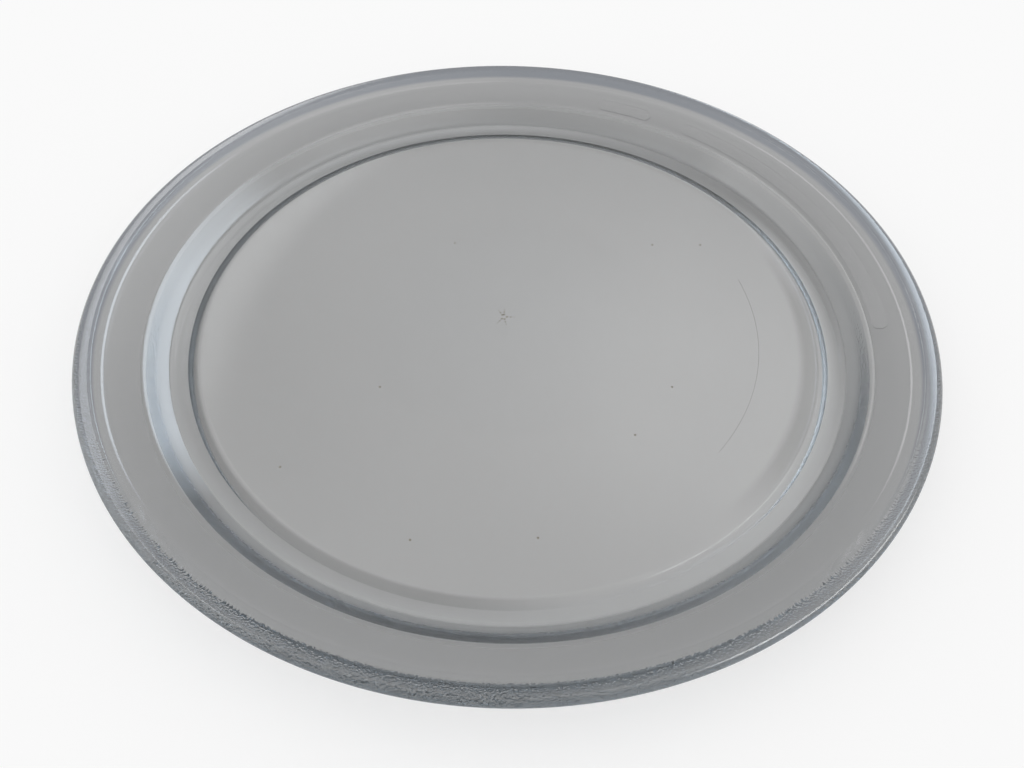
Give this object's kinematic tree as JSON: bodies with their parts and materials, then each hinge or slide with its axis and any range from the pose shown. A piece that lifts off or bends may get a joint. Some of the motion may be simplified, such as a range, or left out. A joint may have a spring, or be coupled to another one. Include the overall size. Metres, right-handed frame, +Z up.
{
  "type": "microwave turntable plate",
  "caption": "Round pressed-glass plate with a flat cooking surface, stepped side, sloping flange and thick rounded lip, turned on rollers inside a microwave oven.",
  "frame": {"origin": "centre of the plate in the plane of the foot ring, on the surface that the plate rests on", "axes": "+Z up out of the cooking surface along the turning axis; X and Y lie in the plane of the foot ring and are free, since the plate is round"},
  "size_m": [0.325, 0.325, 0.02],
  "materials": {
    "pressed_glass": "fire-polished above, finely grained on the sides below"
  },
  "bodies": {
    "root": {"turntable_plate": "pressed_glass"}
  },
  "joints": []
}
